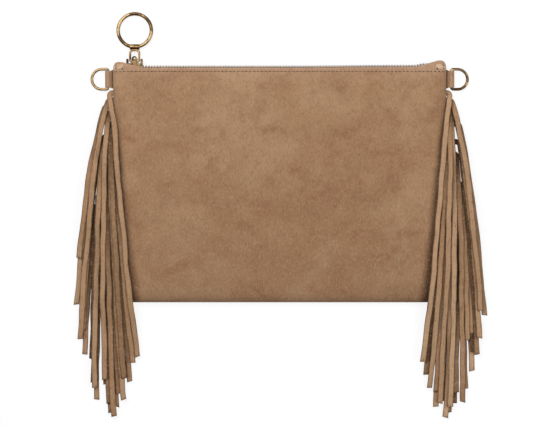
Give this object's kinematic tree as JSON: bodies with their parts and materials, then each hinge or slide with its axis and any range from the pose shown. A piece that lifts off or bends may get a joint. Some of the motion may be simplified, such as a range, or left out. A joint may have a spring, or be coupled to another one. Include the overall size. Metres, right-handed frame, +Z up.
{
  "type": "fringed zip pouch",
  "caption": "Flat suede pouch with a zipped top edge, a ring pull on the zip, a D-ring at each top corner and a long cut fringe down each side",
  "frame": {"origin": "middle of the back panel's outer face, which lies on the surface that the pouch rests on", "axes": "+X to the right along the zip, +Y towards the zip, +Z up from the back panel through the front panel"},
  "size_m": [0.3485, 0.3414, 0.0148],
  "materials": {
    "suede": "tan suede with a raised nap",
    "suede_edge": "tan suede with cut edges",
    "fabric": "plain woven lining",
    "woven_tape": "brown woven zip tape",
    "aged_brass": "aged brass with a darkened surface"
  },
  "bodies": {
    "bag": {"back_panel": "suede", "front_panel": "suede", "lining": "fabric", "zip_tape_front": "woven_tape", "zip_tape_back": "woven_tape", "zip_teeth_front": "aged_brass", "zip_teeth_back": "aged_brass", "zip_top_stop_front": "aged_brass", "zip_top_stop_back": "aged_brass", "zip_bottom_stop": "aged_brass", "zip_end_left": "suede_edge", "zip_end_right": "suede_edge", "d_ring_tab_left": "suede_edge", "d_ring_tab_right": "suede_edge", "fringe_left": "suede", "fringe_right": "suede"},
    "slider": {"slider": "aged_brass"},
    "pull_link": {"pull_link": "aged_brass"},
    "pull_ring": {"pull_ring": "aged_brass"},
    "d_ring_left": {"d_ring_left": "aged_brass"},
    "d_ring_right": {"d_ring_right": "aged_brass"}
  },
  "joints": [
    {"name": "slider_slide", "type": "slide", "parent": "bag", "child": "slider", "axis": [1, 0, 0], "range_m": [0, 0.2425]},
    {"name": "link_hinge", "type": "hinge", "parent": "slider", "child": "pull_link", "pos_m": [-0.122, 0.1037, 0.0058], "axis": [1, 0, 0], "range_deg": [-75, 105]},
    {"name": "ring_hinge", "type": "hinge", "parent": "pull_link", "child": "pull_ring", "pos_m": [-0.122, 0.11636, 0.00242], "axis": [1, 0, 0], "range_deg": [-103, 76]},
    {"name": "d_ring_left_hinge", "type": "hinge", "parent": "bag", "child": "d_ring_left", "pos_m": [-0.1445, 0.0892, 0.0026], "axis": [0, 1, 0], "range_deg": [-100, 110]},
    {"name": "d_ring_right_hinge", "type": "hinge", "parent": "bag", "child": "d_ring_right", "pos_m": [0.1445, 0.0892, 0.0026], "axis": [0, -1, 0], "range_deg": [-100, 110]}
  ]
}
